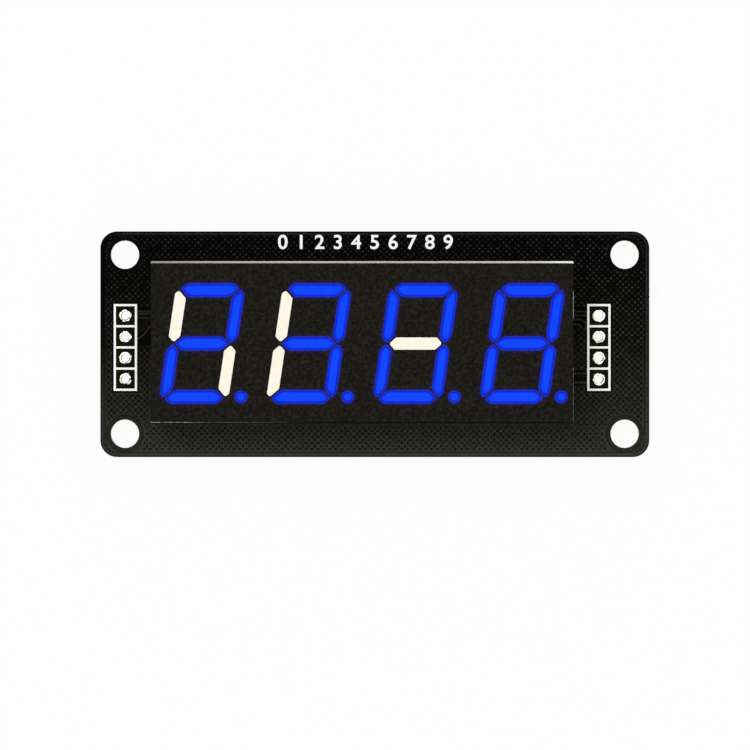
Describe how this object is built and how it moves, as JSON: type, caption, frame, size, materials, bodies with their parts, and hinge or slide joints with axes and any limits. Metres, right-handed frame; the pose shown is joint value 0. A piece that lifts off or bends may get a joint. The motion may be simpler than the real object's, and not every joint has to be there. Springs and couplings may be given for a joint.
{
  "type": "seven segment display module",
  "caption": "Multi-digit seven segment LED display in a white housing with a black face, on a black circuit board with corner screw holes, end header rows and a rear driver chip.",
  "frame": {"origin": "centre of the board's outline and of the four screw holes, at the level of the display pins' tips, on which the module stands", "axes": "+Z out of the display's face, +X to the right along the row of digits, +Y towards the digits' top"},
  "size_m": [0.0658, 0.0272, 0.0124],
  "materials": {
    "segment_lit": "satin",
    "segment_unlit": "satin",
    "housing": "satin",
    "face": "matte",
    "carrier_laminate": "satin",
    "led_chip": "gloss",
    "backfill_resin": "gloss",
    "tinned_pin": "satin",
    "tinned_copper": "satin",
    "solder": "polished",
    "board_mask": "satin",
    "print": "matte",
    "chip_body": "matte",
    "capacitor_body": "satin",
    "resistor_body": "satin"
  },
  "bodies": {
    "root": {"digit1_segment_a": "segment_lit", "digit1_segment_b": "segment_lit", "digit1_segment_c": "segment_unlit", "digit1_segment_d": "segment_lit", "digit1_segment_e": "segment_lit", "digit1_segment_f": "segment_unlit", "digit1_segment_g": "segment_lit", "digit1_point": "segment_lit", "digit2_segment_a": "segment_lit", "digit2_segment_b": "segment_lit", "digit2_segment_c": "segment_lit", "digit2_segment_d": "segment_lit", "digit2_segment_e": "segment_unlit", "digit2_segment_f": "segment_unlit", "digit2_segment_g": "segment_lit", "digit2_point": "segment_lit", "digit3_segment_a": "segment_lit", "digit3_segment_b": "segment_lit", "digit3_segment_c": "segment_lit", "digit3_segment_d": "segment_lit", "digit3_segment_e": "segment_lit", "digit3_segment_f": "segment_lit", "digit3_segment_g": "segment_unlit", "digit3_point": "segment_lit", "digit4_segment_a": "segment_lit", "digit4_segment_b": "segment_lit", "digit4_segment_c": "segment_lit", "digit4_segment_d": "segment_lit", "digit4_segment_e": "segment_lit", "digit4_segment_f": "segment_lit", "digit4_segment_g": "segment_lit", "digit4_point": "segment_lit", "display_housing": "housing", "face_layer": "face", "led_carrier": "carrier_laminate", "led_chips": "led_chip", "resin_backfill": "backfill_resin", "display_pins_upper_row": "tinned_pin", "display_pins_lower_row": "tinned_pin", "display_pin_pads": "tinned_copper", "display_solder_joints": "solder", "circuit_board": "board_mask", "front_print": "print", "rear_print": "print", "left_header_pads": "tinned_copper", "right_header_pads": "tinned_copper", "driver_chip": "chip_body", "driver_chip_leads": "tinned_copper", "bulk_capacitor": "capacitor_body", "bypass_capacitor": "capacitor_body", "clock_capacitor": "capacitor_body", "data_capacitor": "capacitor_body", "clock_pull_up_resistor": "resistor_body", "data_pull_up_resistor": "resistor_body", "small_part_terminals": "solder", "surface_mount_pads": "tinned_copper", "surface_mount_solder": "solder"}
  },
  "joints": []
}
